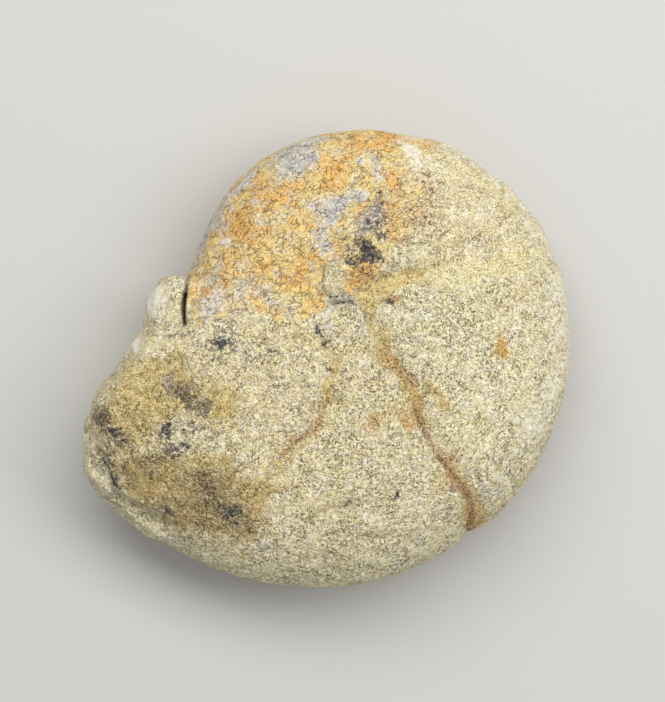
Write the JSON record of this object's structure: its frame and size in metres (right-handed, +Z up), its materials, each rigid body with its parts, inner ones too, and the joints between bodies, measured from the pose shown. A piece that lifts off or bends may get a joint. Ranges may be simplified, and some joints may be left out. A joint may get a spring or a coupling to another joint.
{
  "type": "ammonite fossil",
  "caption": "Loose ammonite fossil: a smooth, tightly coiled stone mould with shallow constrictions and a broken aperture, lying on a worn flat of one flank.",
  "frame": {"origin": "middle of the box at its lowest point, on the surface that the stone lies on", "axes": "+Z up through the upper flank, from which the camera looks; +X along the longest side, away from the broken aperture; +Y towards the oldest part of the outer whorl"},
  "size_m": [0.1086, 0.102, 0.035],
  "materials": {
    "stone": "matt, sandy"
  },
  "bodies": {
    "root": {"ammonite": "stone"}
  },
  "joints": []
}
